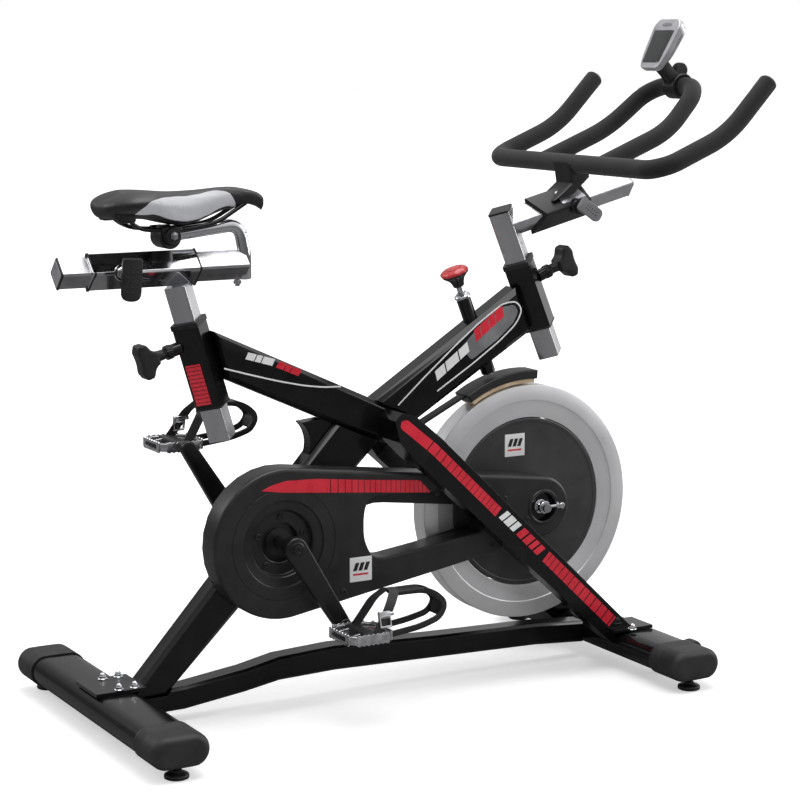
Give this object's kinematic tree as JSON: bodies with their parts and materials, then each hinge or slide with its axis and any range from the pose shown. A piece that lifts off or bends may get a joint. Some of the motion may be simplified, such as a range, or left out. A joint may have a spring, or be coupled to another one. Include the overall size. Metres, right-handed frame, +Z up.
{
  "type": "exercise bike",
  "caption": "Indoor training cycle with an X frame, belt-driven flywheel, friction brake, sliding saddle and handlebar posts and toe-clip pedals.",
  "frame": {"origin": "middle of the footprint box, on the floor under the levelling feet", "axes": "+X towards the handlebar end, +Y to the rider's left, +Z up"},
  "size_m": [1.2444, 0.62, 1.1782],
  "materials": {
    "frame_paint": "gloss",
    "crank_paint": "satin",
    "chrome": "polished",
    "satin_steel": "satin",
    "flywheel_steel": "satin",
    "disc_paint": "satin",
    "guard_plastic": "satin",
    "black_plastic": "matte",
    "cap_rubber": "matte",
    "foam_grip": "matte",
    "saddle_vinyl": "satin",
    "felt": "matte",
    "belt_rubber": "matte",
    "red_plastic": "satin",
    "silver_plastic": "satin"
  },
  "bodies": {
    "root": {"rear_stabiliser": "frame_paint", "front_stabiliser": "frame_paint", "rear_cap_right": "cap_rubber", "rear_cap_left": "cap_rubber", "front_cap_right": "cap_rubber", "front_cap_left": "cap_rubber", "base_beam": "frame_paint", "seat_beam": "frame_paint", "head_beam": "frame_paint", "rear_leg": "frame_paint", "gusset": "frame_paint", "seat_sleeve": "frame_paint", "head_sleeve": "frame_paint", "front_leg_right": "frame_paint", "front_leg_left": "frame_paint", "flywheel_axle": "satin_steel", "drive_belt": "belt_rubber", "guard_cover": "guard_plastic", "guard_back": "guard_plastic"},
    "seat_post": {"seat_post": "satin_steel", "seat_carriage": "chrome"},
    "seat_lever": {"seat_lever": "black_plastic"},
    "seat_slider": {"seat_slider": "satin_steel", "seat_bar": "chrome"},
    "saddle": {"saddle_clamp": "black_plastic", "saddle": "saddle_vinyl"},
    "seat_pin": {"seat_pin": "chrome"},
    "seat_knob": {"seat_knob": "black_plastic"},
    "handlebar_post": {"handlebar_post": "satin_steel"},
    "handlebar": {"handlebar_clamp": "black_plastic", "handlebar_stem": "black_plastic", "handlebar_outer": "foam_grip", "handlebar_inner": "foam_grip"},
    "handlebar_lever": {"handlebar_lever": "silver_plastic"},
    "console": {"console_clamp": "black_plastic", "console_housing": "silver_plastic"},
    "head_pin": {"head_pin": "chrome"},
    "head_knob": {"head_knob": "black_plastic"},
    "brake_screw": {"brake_screw": "satin_steel"},
    "brake_knob": {"brake_knob": "red_plastic"},
    "brake_shoe": {"brake_shoe": "black_plastic", "brake_pad": "felt"},
    "flywheel": {"flywheel": "flywheel_steel", "flywheel_disc_right": "disc_paint", "flywheel_disc_left": "disc_paint", "small_pulley": "satin_steel"},
    "crank": {"crank_axle": "satin_steel", "crank_right": "crank_paint", "crank_left": "crank_paint", "large_pulley": "satin_steel"},
    "pedal_right": {"pedal_right": "silver_plastic", "toe_clip_right": "black_plastic"},
    "pedal_left": {"pedal_left": "silver_plastic", "toe_clip_left": "black_plastic"},
    "transport_wheel_right": {"transport_wheel_right": "black_plastic"},
    "transport_wheel_left": {"transport_wheel_left": "black_plastic"},
    "rear_foot_right": {"rear_foot_right": "cap_rubber"},
    "rear_foot_left": {"rear_foot_left": "cap_rubber"},
    "front_foot_right": {"front_foot_right": "cap_rubber"},
    "front_foot_left": {"front_foot_left": "cap_rubber"}
  },
  "joints": [
    {"name": "seat_post_height", "type": "slide", "parent": "root", "child": "seat_post", "axis": [-0.284, 0, 0.9588], "range_m": [-0.045, 0.11]},
    {"name": "seat_fore_aft", "type": "slide", "parent": "seat_post", "child": "seat_slider", "axis": [1, 0, 0], "range_m": [-0.06, 0.045]},
    {"name": "saddle_tilt", "type": "hinge", "parent": "seat_slider", "child": "saddle", "pos_m": [-0.43324, 0, 0.8235], "axis": [0, 1, 0], "range_deg": [-5, 3]},
    {"name": "seat_lever_turn", "type": "hinge", "parent": "seat_post", "child": "seat_lever", "pos_m": [-0.52224, -0.044, 0.77], "axis": [0, 1, 0], "range_deg": [-75, 75]},
    {"name": "seat_pin_pull", "type": "slide", "parent": "root", "child": "seat_pin", "axis": [-0.9588, 0, -0.284], "range_m": [0, 0.008], "stiffness_N_per_m": 900, "springref_m": -0.004},
    {"name": "seat_knob_turn", "type": "hinge", "parent": "seat_pin", "child": "seat_knob", "pos_m": [-0.44214, 0, 0.62731], "axis": [-0.9588, 0, -0.284], "range_deg": [-360, 360]},
    {"name": "handlebar_height", "type": "slide", "parent": "root", "child": "handlebar_post", "axis": [-0.3827, 0, 0.9239], "range_m": [-0.012, 0.1]},
    {"name": "handlebar_fore_aft", "type": "slide", "parent": "handlebar_post", "child": "handlebar", "axis": [0.9686, 0, 0.2487], "range_m": [-0.025, 0.09]},
    {"name": "handlebar_lever_turn", "type": "hinge", "parent": "handlebar", "child": "handlebar_lever", "pos_m": [0.35667, -0.044, 0.84544], "axis": [0, 1, 0], "range_deg": [-60, 60]},
    {"name": "console_tilt", "type": "hinge", "parent": "handlebar", "child": "console", "pos_m": [0.59876, 0, 1.057], "axis": [0, 1, 0], "range_deg": [-25, 25]},
    {"name": "head_pin_pull", "type": "slide", "parent": "root", "child": "head_pin", "axis": [0.9239, 0, 0.3827], "range_m": [0, 0.008], "stiffness_N_per_m": 900, "springref_m": -0.004},
    {"name": "head_knob_turn", "type": "hinge", "parent": "head_pin", "child": "head_knob", "pos_m": [0.32377, 0, 0.73129], "axis": [0.9239, 0, 0.3827], "range_deg": [-360, 360]},
    {"name": "flywheel_spin", "type": "hinge", "parent": "root", "child": "flywheel", "pos_m": [0.26176, 0, 0.311], "axis": [0, 1, 0], "continuous": true},
    {"name": "crank_spin", "type": "hinge", "parent": "root", "child": "crank", "pos_m": [-0.25825, 0, 0.3], "axis": [0, 1, 0], "continuous": true},
    {"name": "pedal_right_spin", "type": "hinge", "parent": "crank", "child": "pedal_right", "pos_m": [-0.16847, -0.18, 0.158], "axis": [0, 1, 0], "continuous": true},
    {"name": "pedal_left_spin", "type": "hinge", "parent": "crank", "child": "pedal_left", "pos_m": [-0.34802, 0.18, 0.442], "axis": [0, 1, 0], "continuous": true},
    {"name": "brake_push", "type": "slide", "parent": "root", "child": "brake_screw", "axis": [0.3665, 0, -0.9304], "range_m": [0, 0.0024], "stiffness_N_per_m": 2500, "springref_m": -0.002},
    {"name": "brake_knob_turn", "type": "hinge", "parent": "brake_screw", "child": "brake_knob", "pos_m": [0.12869, 0, 0.71047], "axis": [0.3665, 0, -0.9304], "range_deg": [-720, 720]},
    {"name": "brake_shoe_swing", "type": "hinge", "parent": "root", "child": "brake_shoe", "pos_m": [0.04775, 0, 0.47], "axis": [0, 1, 0], "range_deg": [0, 0.85]},
    {"name": "transport_wheel_right_spin", "type": "hinge", "parent": "root", "child": "transport_wheel_right", "pos_m": [0.51175, -0.19, 0.038], "axis": [0, 1, 0], "continuous": true},
    {"name": "transport_wheel_left_spin", "type": "hinge", "parent": "root", "child": "transport_wheel_left", "pos_m": [0.51175, 0.19, 0.038], "axis": [0, 1, 0], "continuous": true},
    {"name": "rear_foot_right_turn", "type": "hinge", "parent": "root", "child": "rear_foot_right", "pos_m": [-0.55224, -0.283, 0], "axis": [0, 0, 1], "range_deg": [-720, 720]},
    {"name": "rear_foot_left_turn", "type": "hinge", "parent": "root", "child": "rear_foot_left", "pos_m": [-0.55224, 0.283, 0], "axis": [0, 0, 1], "range_deg": [-720, 720]},
    {"name": "front_foot_right_turn", "type": "hinge", "parent": "root", "child": "front_foot_right", "pos_m": [0.43976, -0.283, 0], "axis": [0, 0, 1], "range_deg": [-720, 720]},
    {"name": "front_foot_left_turn", "type": "hinge", "parent": "root", "child": "front_foot_left", "pos_m": [0.43976, 0.283, 0], "axis": [0, 0, 1], "range_deg": [-720, 720]}
  ],
  "couplings": [
    {"joint": "crank_spin", "follows": "flywheel_spin", "ratio": 0.26923},
    {"joint": "brake_shoe_swing", "follows": "brake_push", "rad_per_m": 5.814}
  ]
}
